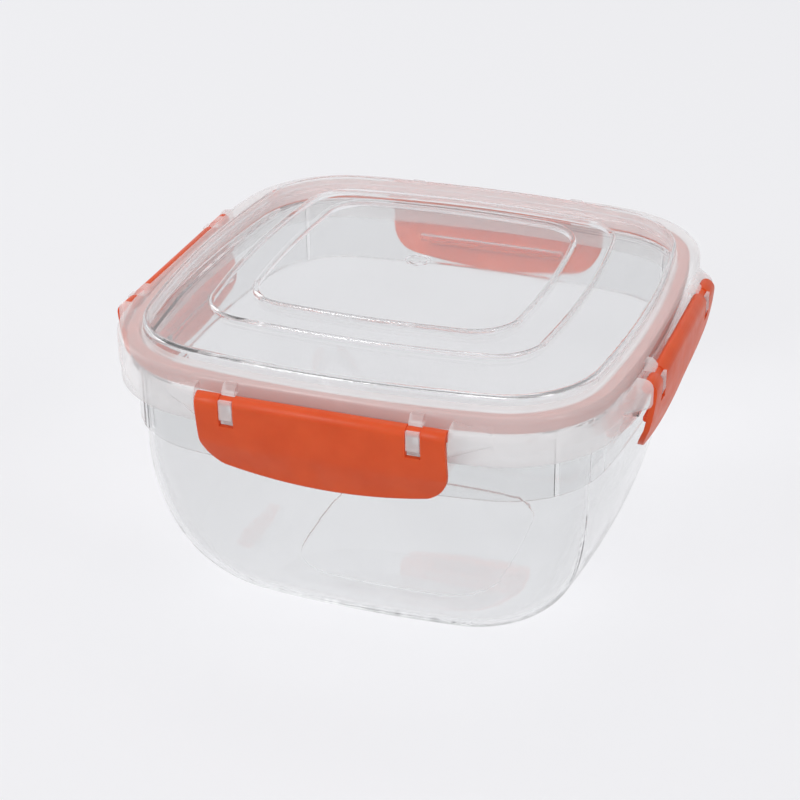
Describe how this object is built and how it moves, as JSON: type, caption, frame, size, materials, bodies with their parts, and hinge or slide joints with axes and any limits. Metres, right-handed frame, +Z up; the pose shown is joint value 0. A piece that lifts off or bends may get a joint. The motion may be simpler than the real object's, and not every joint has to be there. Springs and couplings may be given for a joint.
{
  "type": "food storage box",
  "caption": "Square clear food storage box with bowed sides and a rounded base, closed by a lid with a frosted frame, a raised clear window, a seal ring and hinged side clips.",
  "frame": {"origin": "middle of the base at the level of the surface that the box stands on", "axes": "+Z up through the lid, -Y to the front side and +X to the right side"},
  "size_m": [0.2022, 0.2022, 0.1179],
  "materials": {
    "clear_bowl": "clear, polished",
    "clear_window": "clear, polished",
    "frosted_frame": "translucent, satin",
    "seal": "soft silicone, satin",
    "clip": "satin moulded"
  },
  "bodies": {
    "box": {"bowl": "clear_bowl"},
    "lid": {"lid_frame": "frosted_frame", "lid_window": "clear_window", "seal_ring": "seal"},
    "clip_front": {"clip_front": "clip"},
    "clip_right": {"clip_right": "clip"},
    "clip_back": {"clip_back": "clip"},
    "clip_left": {"clip_left": "clip"}
  },
  "joints": [
    {"name": "lid_lift", "type": "slide", "parent": "box", "child": "lid", "axis": [0, 0, 1], "range_m": [0, 0.06]},
    {"name": "clip_front_hinge", "type": "hinge", "parent": "lid", "child": "clip_front", "pos_m": [0, -0.09795, 0.103], "axis": [-1, 0, 0], "range_deg": [-5.2, 110]},
    {"name": "clip_right_hinge", "type": "hinge", "parent": "lid", "child": "clip_right", "pos_m": [0.09795, 0, 0.103], "axis": [0, -1, 0], "range_deg": [-5.2, 110]},
    {"name": "clip_back_hinge", "type": "hinge", "parent": "lid", "child": "clip_back", "pos_m": [0, 0.09795, 0.103], "axis": [1, 0, 0], "range_deg": [-5.2, 110]},
    {"name": "clip_left_hinge", "type": "hinge", "parent": "lid", "child": "clip_left", "pos_m": [-0.09795, 0, 0.103], "axis": [0, 1, 0], "range_deg": [-5.2, 110]}
  ]
}
